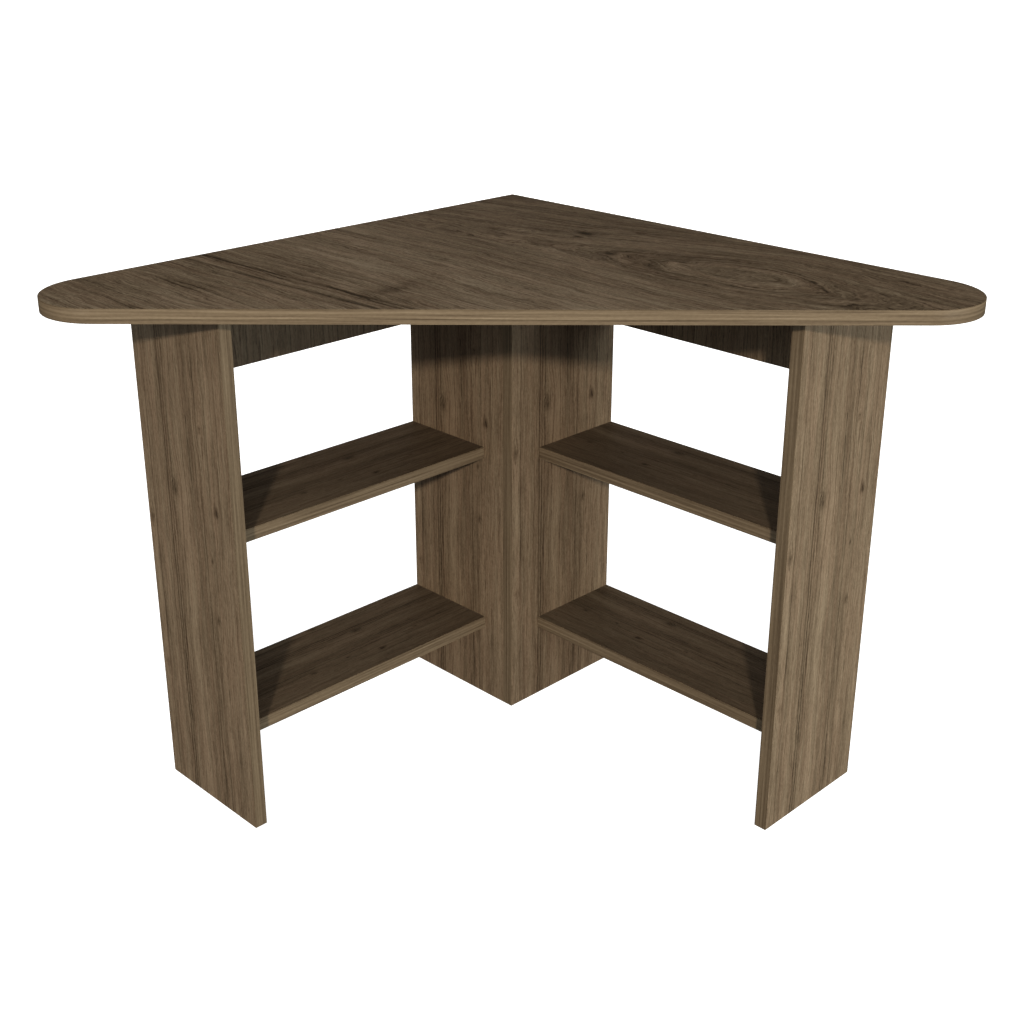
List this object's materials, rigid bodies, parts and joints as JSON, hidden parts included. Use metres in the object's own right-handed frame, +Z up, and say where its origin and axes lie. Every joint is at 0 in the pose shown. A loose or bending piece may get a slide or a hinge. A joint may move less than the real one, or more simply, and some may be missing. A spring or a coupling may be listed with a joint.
{
  "type": "corner desk",
  "caption": "Triangular corner desk of faced board: rounded tips, straight front, upright panels along both walls with shelves between them and a rail behind, round a centre column.",
  "frame": {"origin": "on the floor, at the centre of the square footprint that the two wings span", "axes": "+Z up. The room's corner is at -X +Y: the right wing runs along the wall at +Y and the left wing along the wall at -X, left and right as seen by the person sitting at the desk. The straight front edge faces +X -Y."},
  "size_m": [0.84, 0.84, 0.74],
  "materials": {
    "faced_board": "satin walnut-pattern melamine on chipboard; the cut edges and bores are bare chipboard",
    "edge_band": "satin walnut-pattern edge band, printed with fine lines along its length",
    "cam_zinc": "cast, matt zinc",
    "bolt_steel": "zinc-plated steel",
    "dowel_beech": "bare beech"
  },
  "bodies": {
    "root": {"top": "faced_board", "left_outer_panel": "faced_board", "right_outer_panel": "faced_board", "left_centre_panel": "faced_board", "right_centre_panel": "faced_board", "left_upper_shelf": "faced_board", "left_lower_shelf": "faced_board", "right_upper_shelf": "faced_board", "right_lower_shelf": "faced_board", "left_back_rail": "faced_board", "right_back_rail": "faced_board", "top_front_edge_band": "edge_band", "top_left_edge_band": "edge_band", "top_right_edge_band": "edge_band", "left_outer_panel_edge_bands": "edge_band", "right_outer_panel_edge_bands": "edge_band", "left_centre_panel_edge_band": "edge_band", "right_centre_panel_edge_bands": "edge_band", "left_upper_shelf_edge_bands": "edge_band", "left_lower_shelf_edge_bands": "edge_band", "right_upper_shelf_edge_bands": "edge_band", "right_lower_shelf_edge_bands": "edge_band", "left_back_rail_edge_band": "edge_band", "right_back_rail_edge_band": "edge_band", "left_upper_shelf_cams": "cam_zinc", "left_lower_shelf_cams": "cam_zinc", "right_upper_shelf_cams": "cam_zinc", "right_lower_shelf_cams": "cam_zinc", "left_back_rail_cams": "cam_zinc", "right_back_rail_cams": "cam_zinc", "centre_column_cams": "cam_zinc", "top_cams": "cam_zinc", "left_upper_shelf_cam_bolts": "bolt_steel", "left_lower_shelf_cam_bolts": "bolt_steel", "right_upper_shelf_cam_bolts": "bolt_steel", "right_lower_shelf_cam_bolts": "bolt_steel", "left_back_rail_cam_bolts": "bolt_steel", "right_back_rail_cam_bolts": "bolt_steel", "centre_column_cam_bolts": "bolt_steel", "top_cam_bolts": "bolt_steel", "left_upper_shelf_dowels": "dowel_beech", "left_lower_shelf_dowels": "dowel_beech", "right_upper_shelf_dowels": "dowel_beech", "right_lower_shelf_dowels": "dowel_beech", "left_back_rail_dowels": "dowel_beech", "right_back_rail_dowels": "dowel_beech", "centre_column_dowels": "dowel_beech", "top_dowels": "dowel_beech"}
  },
  "joints": []
}
